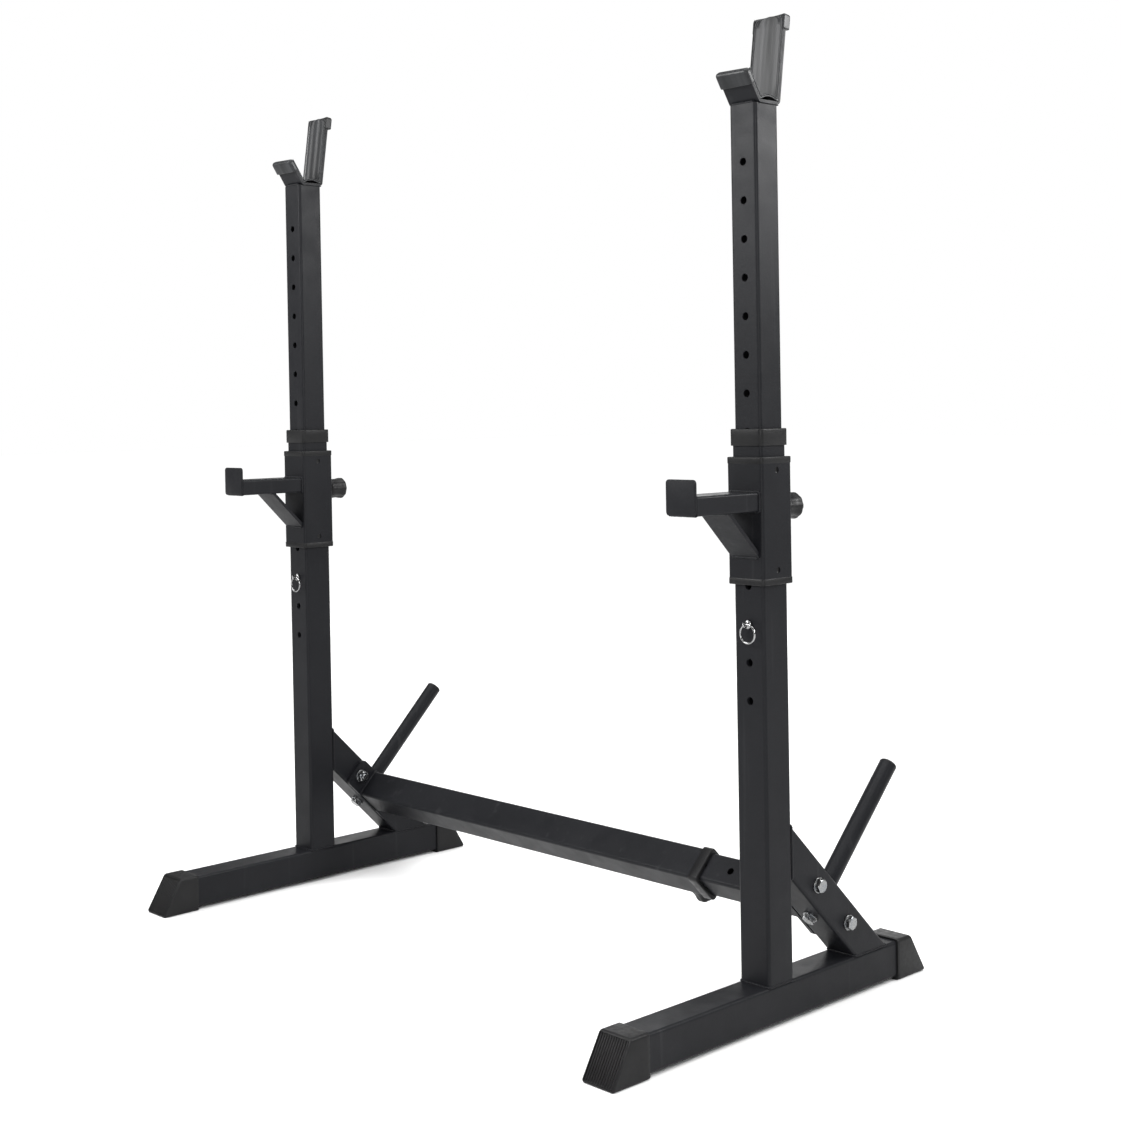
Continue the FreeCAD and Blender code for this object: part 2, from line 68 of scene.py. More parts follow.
# light: name, place, target, size in metres, watts, and the angle it fans out to in degrees
ROOM_LIGHT, OVERHEAD_LIGHT, OVERHEAD_ANGLE = 0.16, 3.6, 70
SOFTBOXES = (("key", (2.1, 1.5, 2.0), (0.5, 0.0, 1.55), (1.0, 1.2), 25, 90.0),
             ("fill", (-1.4, -2.2, 2.1), (0.0, 0.0, 1.5), (1.8, 1.2), 32, 90.0),
             ("front", (3.3, -2.9, 1.9), (0.3, 0.0, 1.2), (1.0, 1.6), 105, 180.0),
             ("back", (-2.4, 3.0, 1.3), (0.0, 0.0, 0.1), (3.0, 1.4), 30, 180.0))
FLOOR_REACH = 30.0

# moulded parts, millimetres
TOE_RUN, TOE_EDGE, TOE_ROUND, TOE_BORDER, TOE_CORNER = 32.0, 4.0, 2.0, 0.6, 4.5
TOE_RIBS, RIB_R, TOE_RECESS, TOE_STEP = 12, 1.55, 1.7, 0.6
TUBE_CORNER = 4.5
MOUTH_GAP = 0.6                # between a collar and the tube that slides in it
BUSH_MOUTH, SLEEVE_WALLS = 50.6, 4.0
KNOB_FLUTES, KNOB_FLUTE_DEPTH = 10, 0.035
KNOB_PROFILE = (               # (radius, height over the plunger's face)
    (0, 27), (8.8, 27), (8.8, 8.4), (9.2, 8), (13.8, 8), (15.9, 8.8), (16.9, 10.4), (17.3, 13),
    (17.1, 17), (16.7, 22), (16.8, 27), (17.4, 31), (18.1, 34), (18.25, 36), (18.1, 37.6),
    (17.3, 39.2), (15.6, 40.4), (13.4, 41), (11.4, 41), (10.6, 40.7), (10.0, 40.0), (9.2, 39.6),
    (6, 39.9), (2, 40.1), (0.01, 40.15))
PEG_R, PEG_SHANK_R, PEG_LENGTH, PEG_HEAD_BACK = 3.95, 2.1, 4.3, 2.4
PLUG_DEPTH, PLUG_LIP, PLUG_DOME = 17.5, 3.5, 2.4
PLUG_OUT = 1.4                 # how far the horn's plug is moved out from its box's corner

# cradle and its lining, millimetres
CRADLE_PATH = ((-41.9, 38.5), (-17.2, 0.0), (23.8, 0.0), (40.6, 119.5))   # (y, z) over the tube
PLATE_T, LINER_T, LINER_ARCH, LINER_GAP = 4.0, 3.0, 5.0, 0.05
LINER_COLUMNS, RIM_CORD_R, RIM_CORD_IN = 36, 0.75, 0.6
FRONT_PHASE, REAR_PHASE = 0.4, 2.1
# each cap's length, cover, proud, sunk and corner, as liner_cap explains
FRONT_CAP, REAR_CAP = (19.0, 4.5, 0.4, 0.0, 4.4), (19.0, 6.0, 0.2, 1.9, 1.8)

# metal parts, millimetres
BEAD_R, BEAD_PITCH, BEAD_STEP = 1.8, 2.6, 0.65
SPRING_R, SPRING_WIRE_R, SPRING_TURNS, SPRING_GAP = 4.9, 0.5, 6, 0.1
SPRING_SEAT, SPRING_TOP, KNOB_TRAVEL = 6.3, 23.0, 10.0   # heights over the plunger's face
BOLT_R, HEX_ACROSS, HEAD_H, NUT_H = 5.0, 17.0, 6.5, 8.5
BOLT_STEP, BOLT_END, THREAD_SHOWN = 45.0, 13.5, 6
WASHER_R, WASHER_T, THREAD_PITCH, THREAD_DEPTH = 10.5, 2.0, 1.5, 0.45
NO_LIMIT = 99                  # wider than any hexagon
PIN_R, PIN_FACE = 4.7, 25.2    # the shank's radius, and the upright's face from the pin's middle
EYE_R, EYE_WIRE_R, EYE_OFFSET = 3.1, 1.05, 4.25
RING_LEAN = 22.0               # degrees that the height pin is turned about its axis
PLATE_EDGE, PLATE_CORNER = 1.0, 5
BEAM_HALF = 25.0               # half the width of the beam's outer tube
GUSSET_CUT = 7.3               # the gusset's thickness measured along the face it is welded to


# ---- shapes ----
class Shape:
    """Vertices and faces in millimetres, collected from several closed forms."""

    def __init__(self):
        self.verts, self.faces = [], []

    def add(self, verts, faces, matrix=Matrix()):
        base = len(self.verts)
        self.verts += [matrix @ Vector(v) for v in verts]
        self.faces += [[base + i for i in face] for face in faces]

    def loft(self, rings, matrix=Matrix(), loop=False):
        """Joins rings of equal length. The ends are closed, or the last ring meets the first."""
        count = len(rings[0])
        verts = [p for ring in rings for p in ring]
        faces = []
        for i in range(len(rings) - (0 if loop else 1)):
            a, b = i * count, (i + 1) % len(rings) * count
            for j in range(count):
                k = (j + 1) % count
                faces.append([a + j, a + k, b + k, b + j])
        if not loop:
            faces.append(list(range(count))[::-1])
            faces.append([(len(rings) - 1) * count + j for j in range(count)])
        self.add(verts, faces, matrix)

    def lathe(self, profile, matrix=Matrix(), segments=48, shape_of=None):
        """Turns (radius, height) points about Z. shape_of may change a radius."""
        rings = []
        for r, z in profile:
            ring = []
            for i in range(segments):
                a = 2 * math.pi * i / segments
                s = shape_of(r, z, a) if shape_of else r
                ring.append((s * math.cos(a), s * math.sin(a), z))
            rings.append(ring)
        self.loft(rings, matrix)

    def sweep(self, path, radius_of, closed=False, segments=10, matrix=Matrix()):
        """A round cord of changing radius along a path. radius_of(i) is the radius at point i."""
        rings, side = [], None
        count = len(path)
        for i, p in enumerate(path):
            before = path[i - 1] if i or closed else p
            after = path[(i + 1) % count] if i + 1 < count or closed else p
            ahead = (Vector(after) - Vector(before)).normalized()
            if side is None:
                side = ahead.orthogonal()
            side = (side - ahead * side.dot(ahead)).normalized()
            across = ahead.cross(side)
            r = radius_of(i)
            rings.append([Vector(p) + side * (r * math.cos(t)) + across * (r * math.sin(t))
                          for t in (2 * math.pi * k / segments for k in range(segments))])
        self.loft(rings, matrix, loop=closed)


def piece(name, shape, body, slot, replaces=(), sharp=35.0):
    """Makes the shape an object that rides on a body and wears its slot's material."""
    mesh = bpy.data.meshes.new(name)
    mesh.from_pydata([v * MM for v in shape.verts], [], shape.faces)
    form = bmesh.new()
    form.from_mesh(mesh)
    bmesh.ops.remove_doubles(form, verts=form.verts, dist=0.001 * MM)
    bmesh.ops.recalc_face_normals(form, faces=form.faces)
    form.to_mesh(mesh)
    form.free()
    mesh.shade_smooth()
    mesh.set_sharp_from_angle(angle=math.radians(sharp))
    mesh.materials.append(materials[slot])
    thing = bpy.data.objects.new(name, mesh)
    bpy.context.scene.collection.objects.link(thing)
    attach(thing, body)
    if replaces:
        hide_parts(*replaces)
    return thing


def box(node):
    """The node's lowest and highest corners, in millimetres."""
    low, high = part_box(node)
    return low / MM, high / MM


def middle(node):
    low, high = box(node)
    return (low + high) / 2


def pose(point, direction, twist=0.0):
    """Takes +Z to the direction and the origin to the point, after a twist in degrees about +Z."""
    turn = Vector(direction).to_track_quat("Z", "Y").to_matrix().to_4x4()
    return Matrix.Translation(Vector(point)) @ turn @ Matrix.Rotation(math.radians(twist), 4, "Z")


def arc(start, end, steps):
    return [math.radians(start + (end - start) * i / steps) for i in range(steps + 1)]


def square(width, depth, radius, steps=5):
    """Points round a rectangle with round corners, in XY, about the origin."""
    out = []
    for i, (sx, sy) in enumerate(((1, 1), (-1, 1), (-1, -1), (1, -1))):
        cx, cy = sx * (width / 2 - radius), sy * (depth / 2 - radius)
        out += [(cx + radius * math.cos(a), cy + radius * math.sin(a))
                for a in arc(90 * i, 90 * i + 90, steps)]
    return out


def stack(shape, sections, matrix, loop=True):
    """Lofts square sections given as (side, corner radius, height)."""
    shape.loft([[(x, y, z) for x, y in square(side, side, r)] for side, r, z in sections],
               matrix, loop=loop)


# ---- materials ----
class Look:
    """A principled material whose texture is worked out from the object's own coordinates."""

    def __init__(self, name, roughness, metallic=0.0, gloss=0.5):
        self.material = bpy.data.materials.new(name)
        self.material.use_nodes = True
        self.tree = self.material.node_tree
        self.shader = self.tree.nodes["Principled BSDF"]
        self.shader.inputs["Roughness"].default_value = roughness
        self.shader.inputs["Metallic"].default_value = metallic
        self.shader.inputs["Specular IOR Level"].default_value = gloss
        self.place = self.tree.nodes.new("ShaderNodeTexCoord").outputs["Object"]

    def noise(self, scale, detail=2.0, stretch=(1, 1, 1)):
        """Noise with that many features per metre. stretch changes the scale along each axis."""
        fit = self.tree.nodes.new("ShaderNodeMapping")
        fit.inputs["Scale"].default_value = stretch
        self.tree.links.new(self.place, fit.inputs["Vector"])
        node = self.tree.nodes.new("ShaderNodeTexNoise")
        node.inputs["Scale"].default_value = scale
        node.inputs["Detail"].default_value = detail
        self.tree.links.new(fit.outputs["Vector"], node.inputs["Vector"])
        return node.outputs["Fac"]

    def spread(self, value, low, high, start=0.3, end=0.7):
        """Maps a noise value to the range low to high."""
        node = self.tree.nodes.new("ShaderNodeMapRange")
        node.inputs["From Min"].default_value = start
        node.inputs["From Max"].default_value = end
        node.inputs["To Min"].default_value = low
        node.inputs["To Max"].default_value = high
        self.tree.links.new(value, node.inputs["Value"])
        return node.outputs["Result"]

    def blend(self, factor, first, second):
        """A colour between two colours. Either may be another blend's output."""
        node = self.tree.nodes.new("ShaderNodeMix")
        node.data_type = "RGBA"
        self.tree.links.new(factor, node.inputs["Factor"])
        for socket, colour in ((node.inputs[6], first), (node.inputs[7], second)):
            if isinstance(colour, bpy.types.NodeSocket):
                self.tree.links.new(colour, socket)
            else:
                socket.default_value = (*colour, 1.0)
        return node.outputs[2]

    def colour(self, output):
        self.tree.links.new(output, self.shader.inputs["Base Color"])

    def roughness(self, output):
        self.tree.links.new(output, self.shader.inputs["Roughness"])

    def bump(self, *layers):
        """Adds (height, depth in millimetres) layers, one on top of another."""
        normal = None
        for height, depth in layers:
            node = self.tree.nodes.new("ShaderNodeBump")
            node.inputs["Distance"].default_value = depth * MM
            node.inputs["Strength"].default_value = 1.0
            self.tree.links.new(height, node.inputs["Height"])
            if normal:
                self.tree.links.new(normal, node.inputs["Normal"])
            normal = node.outputs["Normal"]
        self.tree.links.new(normal, self.shader.inputs["Normal"])


def powder_coat():
    """Charcoal powder coat: orange-peel skin, fine speckle and faint rubbing marks."""
    look = Look("charcoal_powder_coat", 0.42, gloss=0.11)
    tone = look.blend(look.spread(look.noise(7, 3), 0, 1), (0.0062, 0.0065, 0.0078),
                      (0.0086, 0.0089, 0.0105))
    speckle = look.spread(look.noise(1400, 2), 0, 0.35, 0.58, 0.75)
    tone = look.blend(speckle, tone, (0.045, 0.046, 0.049))
    rubs = look.spread(look.noise(60, 5, (1, 1, 0.04)), 0, 0.10, 0.62, 0.75)
    look.colour(look.blend(rubs, tone, (0.09, 0.09, 0.093)))
    look.roughness(look.spread(look.noise(30, 4), 0.36, 0.47))
    look.bump((look.noise(330, 2), 0.10), (look.noise(1500, 1), 0.02))
    return look.material


def black_plastic():
    """Moulded nylon with a fine spark-eroded grain."""
    look = Look("black_nylon", 0.5, gloss=0.17)
    look.colour(look.blend(look.spread(look.noise(20, 4), 0, 1), (0.005, 0.005, 0.0054),
                           (0.009, 0.009, 0.0094)))
    look.roughness(look.spread(look.noise(160, 4), 0.34, 0.52))
    look.bump((look.noise(1100, 3), 0.045), (look.noise(90, 2), 0.03))
    return look.material


def liner_rubber():
    """Half-matt moulded lining with streaks of polish where the bar runs, and painted sheen on
    them.
    """
    look = Look("moulded_liner", 0.36, gloss=0.2)
    # painted sheen: the colour is lighter along the polished streaks to stand in for their shine;
    # the roughness below is the real polish
    painted_sheen_streak = look.spread(look.noise(75, 2, (1, 0.15, 0.06)), 0, 1)
    look.colour(look.blend(painted_sheen_streak, (0.009, 0.0095, 0.010), (0.026, 0.027, 0.029)))
    look.roughness(look.spread(look.noise(75, 2, (1, 0.15, 0.06)), 0.44, 0.30))
    look.bump((look.noise(210, 3, (1, 0.3, 0.2)), 0.06), (look.noise(900, 2), 0.02))
    return look.material


def zinc():
    """Bright zinc plating with a faint blue and straw bloom."""
    look = Look("zinc_plate", 0.27, 1.0)
    look.colour(look.blend(look.spread(look.noise(90, 3), 0, 1), (0.20, 0.21, 0.225),
                           (0.28, 0.28, 0.275)))
    look.roughness(look.spread(look.noise(420, 4), 0.18, 0.36))
    look.bump((look.noise(700, 3), 0.015),)
    return look.material


def chrome():
    """Polished plating with faint handling smears."""
    look = Look("polished_chrome", 0.08, 1.0)
    look.colour(look.blend(look.spread(look.noise(60, 2), 0, 1), (0.24, 0.24, 0.245),
                           (0.32, 0.32, 0.32)))
    look.roughness(look.spread(look.noise(250, 4), 0.10, 0.20))
    look.bump((look.noise(120, 2), 0.01),)
    return look.material


def spring_steel():
    """Drawn wire with a thin film of oil."""
    look = Look("oiled_spring_wire", 0.3, 1.0)
    look.colour(look.blend(look.spread(look.noise(300, 3), 0, 1), (0.26, 0.25, 0.24),
                           (0.40, 0.40, 0.41)))
    look.roughness(look.spread(look.noise(900, 2), 0.22, 0.4))
    look.bump((look.noise(2000, 2), 0.008),)
    return look.material


def floor_finish():
    """A pale matt floor, slightly uneven in tone."""
    look = Look("pale_studio_floor", 0.7)
    look.colour(look.blend(look.spread(look.noise(2, 2), 0, 1), (0.84, 0.84, 0.84),
                           (0.87, 0.87, 0.87)))
    look.roughness(look.spread(look.noise(12, 2), 0.65, 0.8))
    look.bump((look.noise(300, 2), 0.02),)
    return look.material


def dress_frame():
    """Gives each CAD node its slot's material and smooth shading on its round faces."""
    slots = {part["node"]: part["material_slot"] for part in frame["record"]["subparts"]}
    for name, node in frame["nodes"].items():
        node.data.materials.clear()
        node.data.materials.append(materials[slots[name]])
        node.data.shade_smooth()


# ---- moulded plastic ----
def foot_cap(side, end):
    """A shoe over the end of a foot: an open mouth, and a sloping toe with rounded ribs."""
    name = side + "_" + end + "_foot_cap"
    (low, high), (tube_low, tube_high) = box(name), box(side + "_base_tube")
    way = -1 if end == "front" else 1
    mouth, tip = sorted((abs(low.y), abs(high.y)))
    width, height = high.x - low.x, high.z
    centre = middle(name).x
    rise = height - TOE_EDGE
    tilt = math.hypot(1, TOE_RUN / rise)
    shape = Shape()

    def toe(x, z, back=0.0):
        """The point on the toe's plane, or that far behind it, at height z."""
        reach = tip - max(z - TOE_EDGE, 0) * TOE_RUN / rise
        return (centre + x, way * (reach - back * tilt), z)

    def ring(inset, at):
        outline = square(width - 2 * inset, height - 2 * inset, max(TOE_CORNER - inset, 0.6))
        return [at(x, y + height / 2) for x, y in outline]

    def slice_at(y):
        return lambda x, z: (centre + x, way * y, z)

    side_of_tube = tube_high.x - tube_low.x
    pocket = [(x, y + (tube_low.z + tube_high.z) / 2)
              for x, y in square(side_of_tube, side_of_tube, TUBE_CORNER)]
    depth = abs(tube_high.y)
    rings = [[slice_at(y)(x, z) for x, z in pocket] for y in (depth, mouth)]
    rings += [ring(inset, slice_at(mouth + back))
              for inset, back in ((0.7, 0.0), (0.2, 0.2), (0.0, 0.8), (0.0, 6))]
    for a in arc(0, 90, 5):
        back = TOE_ROUND * (1 - math.sin(a))
        rings.append(ring(TOE_ROUND * (1 - math.cos(a)), lambda x, z, b=back: toe(x, z, b)))
    rings.append(ring(TOE_ROUND + TOE_BORDER, toe))
    rings.append(ring(TOE_ROUND + TOE_BORDER + TOE_STEP, lambda x, z: toe(x, z, TOE_RECESS)))
    shape.loft(rings)

    inner = width - 2 * (TOE_ROUND + TOE_BORDER + TOE_STEP)
    bottom = TOE_ROUND + TOE_BORDER + 2 * TOE_STEP
    for i in range(TOE_RIBS):
        x = inner * ((i + 0.5) / TOE_RIBS - 0.5)
        ends = [Vector(toe(x, z, TOE_RECESS)) for z in (bottom, height - bottom)]
        path = [ends[0].lerp(ends[1], t) for t in (0, 0.01, 0.03, 0.5, 0.97, 0.99, 1)]
        shares = (0.35, 0.8, 1, 1, 1, 0.8, 0.35)
        shape.sweep(path, lambda k: RIB_R * shares[k], segments=12)
    piece(name + "_shell", shape, side + "_stand", "black_plastic", [name])


def collar(name, body, inner_side, outer_side, seat_side, length, lip, matrix):
    """A guide cap on the mouth of an outer tube, with a rounded rim."""
    r, full = TUBE_CORNER + 1.5, length + lip
    sections = [(inner_side, TUBE_CORNER, length), (inner_side, TUBE_CORNER, full - 0.5),
                (inner_side + 0.9, TUBE_CORNER + 0.4, full)]
    for a in arc(90, 0, 4):
        sections.append((outer_side - 3 * (1 - math.cos(a)), r - 1.5 * (1 - math.cos(a)),
                         full - 1.5 * (1 - math.sin(a))))
    sections += [(outer_side, r, 0.6), (outer_side - 0.8, r - 0.4, 0),
                 (seat_side, TUBE_CORNER, 0), (seat_side, TUBE_CORNER, length)]
    shape = Shape()
    stack(shape, sections, matrix)
    piece(name + "_shell", shape, body, "black_plastic", [name])


def upright_collar(side):
    name = side + "_upright_collar"
    low, high = box(name)
    tube = box(side + "_upright_tube")[1]
    inner = box(side + "_upper_tube")
    centre = middle(name)
    outer = high.x - low.x
    collar(name, side + "_stand", inner[1].x - inner[0].x + MOUTH_GAP, outer, 2 * tube.y,
           tube.z - low.z, high.z - tube.z, Matrix.Translation((centre.x, centre.y, low.z)))


def beam_collar():
    """The same guide on the beam, whose section stands on edge."""
    low, high = box("beam_collar")
    tube_low, tube_high = box("beam_outer_tube")
    inner = box("beam_inner_tube")
    centre = middle("beam_collar")
    place = pose((low.x, centre.y, centre.z), X_AXIS, 45)
    corner_loss = 2 * (math.sqrt(2) - 1)
    outer = (high.z - low.z + corner_loss * (TUBE_CORNER + 1.5)) / math.sqrt(2)
    seat = (tube_high.z - tube_low.z + corner_loss * TUBE_CORNER) / math.sqrt(2)
    mouth = (inner[1].z - inner[0].z + corner_loss * TUBE_CORNER) / math.sqrt(2) + MOUTH_GAP
    collar("beam_collar", "left_stand", mouth, outer, seat, tube_high.x - low.x,
           high.x - tube_high.x, place)


def sleeve_bush(side, end):
    """A guide pressed into the sleeve's end: a hidden skirt, and a rim with rounded edges."""
    name = side + "_sleeve_" + end + "_bush"
    low, high = box(name)
    sleeve_low, sleeve_high = box(side + "_carriage_sleeve")
    centre = middle(name)
    rim = high.z - sleeve_high.z if end == "top" else sleeve_low.z - low.z
    skirt = high.z - low.z - rim
    wide, narrow = high.x - low.x, sleeve_high.x - sleeve_low.x - SLEEVE_WALLS
    r = TUBE_CORNER
    sections = [(BUSH_MOUTH, r, -skirt), (BUSH_MOUTH, r, rim - 0.8),
                (BUSH_MOUTH + 1.4, r + 0.5, rim)]
    for a in arc(90, 0, 4):
        sections.append((wide - 2.4 * (1 - math.cos(a)), r - 1.0 * (1 - math.cos(a)),
                         rim - 1.2 * (1 - math.sin(a))))
    sections += [(wide, r, 0.9), (wide - 0.8, r - 0.4, 0), (narrow, r - 2, 0),
                 (narrow, r - 2, -skirt)]
    turn = Matrix() if end == "top" else Matrix.Rotation(math.pi, 4, "X")
    level = sleeve_high.z if end == "top" else sleeve_low.z
    shape = Shape()
    stack(shape, sections, Matrix.Translation((centre.x, centre.y, level)) @ turn)
    piece(name + "_guide", shape, side + "_carriage", "black_plastic", [name])


def knob(name, body, face, direction):
    """A pull knob with shallow flutes, a wide rim and a dished end."""

    def fluted(r, z, angle):
        share = max(0.0, min(1.0, (r - 12) / 4.5))
        dip = (0.5 - 0.5 * math.cos(KNOB_FLUTES * angle)) ** 1.6
        return r * (1 - KNOB_FLUTE_DEPTH * share * dip)

    shape = Shape()
    shape.lathe(KNOB_PROFILE, pose(face, direction), 160, fluted)
    piece(name + "_grip", shape, body, "black_plastic", [name])


def plunger_spring(name, body, face, direction):
    """The coil in a plunger's chamber, with a mesh of its own."""
    direction = Vector(direction)
    low, high = SPRING_SEAT + SPRING_WIRE_R + SPRING_GAP, SPRING_TOP - SPRING_WIRE_R - SPRING_GAP
    count = 24 * SPRING_TURNS
    path = []
    for i in range(count + 1):
        a = 2 * math.pi * SPRING_TURNS * i / count
        path.append((SPRING_R * math.cos(a), SPRING_R * math.sin(a),
                     low + (high - low) * i / count))
    shape = Shape()
    shape.sweep(path, lambda i: SPRING_WIRE_R, segments=8, matrix=pose(face, direction))
    coil = piece(name + "_coil", shape, body, "spring_steel", [name])
    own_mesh(coil)


def horn_cap(side):
    """A domed plug in the horn's open end."""
    name = side + "_horn_cap"
    high = box(name)[1]
    up = Vector((0, 1, 1)).normalized()
    horn = box(side + "_plate_horn")
    radius = (horn[1].x - horn[0].x) / 2
    tip = Vector((middle(name).x, high.y - radius / math.sqrt(2), high.z - radius / math.sqrt(2)))
    profile = [(0.01, -PLUG_DEPTH), (radius - 3, -PLUG_DEPTH), (radius - 2, -PLUG_DEPTH + 1),
               (radius - 2, -PLUG_LIP), (radius, -PLUG_LIP), (radius, -PLUG_DOME)]
    profile += [(radius - PLUG_DOME * (1 - math.cos(a)), -PLUG_DOME + PLUG_DOME * math.sin(a))
                for a in arc(15, 90, 5)]
    profile += [(radius - 4.2, -0.1), (radius - 4.9, -0.7), (radius - 6, -0.8), (3, -0.4),
                (0.01, -0.35)]
    shape = Shape()
    shape.lathe(profile, pose(tip + up * PLUG_OUT, up), 64)
    piece(name + "_plug", shape, side + "_stand", "black_plastic", [name])


# ---- cradle lining ----
def left_of(path, distance):
    """The (y, z) path moved to its left, with mitred corners."""
    out = []
    for i, p in enumerate(path):
        normals = []
        for a, b in ((i - 1, i), (i, i + 1)):
            if 0 <= a and b < len(path):
                d = (Vector(path[b]) - Vector(path[a])).normalized()
                normals.append(Vector((-d.y, d.x)))
        middle_way = (normals[0] + normals[-1]).normalized()
        out.append(Vector(p) + middle_way * (distance / middle_way.dot(normals[0])))
    return out


def eased(path, radius, steps=6):
    """The path with each corner replaced by a short curve."""
    out = [path[0]]
    for a, b, c in zip(path, path[1:], path[2:]):
        start = b + (a - b).normalized() * radius
        end = b + (c - b).normalized() * radius
        out += [start.lerp(b, t).lerp(b.lerp(end, t), t)
                for t in (k / steps for k in range(steps + 1))]
    return out + [path[-1]]


def divided(path, shares=(0.06, 0.3, 0.6, 0.9)):
    """The path with more points on its first and last legs, closest at the bends."""
    first = [path[1].lerp(path[0], t) for t in shares[::-1]]
    last = [path[-2].lerp(path[-1], t) for t in shares]
    return path[:1] + first + path[1:-1] + last + path[-1:]


def liner_sheet(shape, place, half_width):
    """The lining itself: rims along both edges, shallow channels between, and an arched floor."""
    inner = left_of(CRADLE_PATH, PLATE_T + LINER_GAP)
    arch = (inner[1] + inner[2]) / 2 + Vector((0, LINER_ARCH))
    up = (inner[3] - inner[2]).normalized()
    line = [inner[0], inner[1], inner[1].lerp(arch, 0.55) + Vector((0, 0.9)), arch,
            inner[2].lerp(arch, 0.55) + Vector((0, 0.9)), inner[2], inner[3] + up * 0.6]
    under = divided(eased(line, 1.6))
    over = divided(eased(left_of(line, LINER_T), 2.6))
    rings = []
    for k, (lower, upper) in enumerate(zip(under, over)):
        top, bottom = [], []
        for i in range(LINER_COLUMNS + 1):
            u = 2 * i / LINER_COLUMNS - 1
            rim = math.exp(-((abs(u) - 0.93) / 0.05) ** 2)
            channel = 0.35 * (1 - math.cos(3 * math.pi * u)) / 2 if abs(u) < 0.85 else 0.0
            edge = max(0.0, (abs(u) - 0.96) / 0.04)
            share = 0.80 + 0.20 * rim - channel * 0.5 - 0.35 * edge ** 2
            crown = up * (crown_wave(u * half_width, REAR_PHASE) if k == len(under) - 1 else 0)
            p = lower.lerp(upper, share) + crown
            top.append((u * half_width, p.x, p.y))
            bottom.append((u * half_width, lower.x + crown.x, lower.y + crown.y))
        rings.append(top + bottom[::-1])
    shape.loft(rings, place)
    for x in (-half_width + RIM_CORD_IN, half_width - RIM_CORD_IN):
        shape.sweep([(x, p.x, p.y) for p in over], lambda i: RIM_CORD_R, segments=8, matrix=place)


def crown_wave(x, phase):
    """The uneven height of a cap's crown across the cradle."""
    return 1.1 * math.sin(0.17 * x + phase)


def liner_cap(shape, place, tip, inner, cap, swell, phase):
    """A soft hood over one tip of the plate, with round edges and a wavy crown.

    cap is its length down the plate, its thickness outside the plate, how far its inner face stands
    out from the lining, how far that face is sunk between two hooks at its sides, and the
    radius of its corners.
    """
    length, cover, proud, sunk, corner = cap
    tip, inner = Vector(tip), Vector(inner)
    way = (tip - inner).normalized()
    normal = Vector((-way.y, way.x))
    if normal.y < 0:
        normal = -normal
    depth = cover + PLATE_T + LINER_T + proud
    centre = tip + normal * (depth / 2 - cover)
    rows = [(-length, 0.9), (-length + 0.3, 0.3), (-length + 1.0, 0.0), (-length * 0.5, 0.1),
            (-3.0, 0.0)]
    rows += [(-3.0 + 5.4 * math.sin(a), 4.2 * (1 - math.cos(a))) for a in arc(18, 84, 6)]
    rings = []
    for along, inset in rows:
        ring = []
        slump = max(0.0, 1 + along / length)
        section = square(swell - 2 * inset - 1.0, depth - 2 * inset,
                         max(corner - inset * 0.7, 0.5), 6)
        face = section[6][1] - sunk
        section[7:7] = [(section[6][0] - 1.2, face), (section[7][0] + 1.2, face)]
        for x, d in section:
            wave = (crown_wave(x, phase) + 0.35 * math.sin(0.6 * x + phase)) * slump
            p = centre + way * (along - 0.6 + wave) + normal * d
            ring.append((x, p.x, p.y))
        rings.append(ring)
    shape.loft(rings, place)


def cradle_liner(side):
    name = side + "_cradle_liner"
    plate_low, plate_high = box(side + "_bar_cradle")
    low, high = box(name)
    centre = middle(name).x
    place = Matrix.Translation((centre, 0, plate_low.z))
    swell = high.x - low.x
    shape = Shape()
    liner_sheet(shape, place, (plate_high.x - plate_low.x) / 2)
    liner_cap(shape, place, CRADLE_PATH[0], CRADLE_PATH[1], FRONT_CAP, swell, FRONT_PHASE)
    liner_cap(shape, place, CRADLE_PATH[3], CRADLE_PATH[2], REAR_CAP, swell, REAR_PHASE)
    thing = piece(name + "_moulding", shape, side + "_upper", "liner_rubber", [name], sharp=50)
    smooth = thing.modifiers.new("moulded_surface", "SUBSURF")
    smooth.levels = smooth.render_levels = 1


# ---- fasteners and pins ----
def hexagon_head(shape, place, low, high, chamfer_low=False):
    """A hexagon whose corners are cut by a cone, which leaves the usual arcs on its flats."""
    across = HEX_ACROSS / 2
    steps = 72
    rings = []

    def ring(z, limit):
        out = []
        for i in range(steps):
            a = 2 * math.pi * i / steps
            flat = (a + math.pi / 6) % (math.pi / 3) - math.pi / 6
            r = min(across / math.cos(flat), limit)
            out.append((r * math.cos(a), r * math.sin(a), z))
        return out

    if chamfer_low:
        rings += [ring(low, across * 0.93), ring(low + 0.6, across * 1.03),
                  ring(low + 1.4, NO_LIMIT)]
    else:
        rings.append(ring(low, NO_LIMIT))
    rings += [ring(high - 1.5, NO_LIMIT), ring(high - 1.1, across * 1.11),
              ring(high - 0.6, across * 1.03), ring(high, across * 0.90)]
    shape.loft(rings, place)


def washer(shape, place, low):
    r, hole, high, edge = WASHER_R, BOLT_R + 0.25, low + WASHER_T, 0.3
    shape.lathe([(hole, low), (r - edge, low), (r, low + edge), (r, high - edge),
                 (r - edge, high), (hole, high)], place)


def thread(shape, place, low, high):
    """A bolt's threaded end: one helical ridge, and a chamfered tip."""
    segments = 32
    turns = (high - low) / THREAD_PITCH
    rows = int(turns * 6)
    rings = []
    for j in range(rows + 1):
        z = low + (high - low) * j / rows
        fade = min(1.0, (z - low) / 1.2)
        ring = []
        for i in range(segments):
            a = 2 * math.pi * i / segments
            wave = (z / THREAD_PITCH - i / segments) % 1.0
            ridge = THREAD_DEPTH * fade * abs(2 * wave - 1)
            r = BOLT_R - ridge - (1 - fade) * 0.9
            ring.append((r * math.cos(a), r * math.sin(a), z))
        rings.append(ring)
    shape.loft(rings, place)


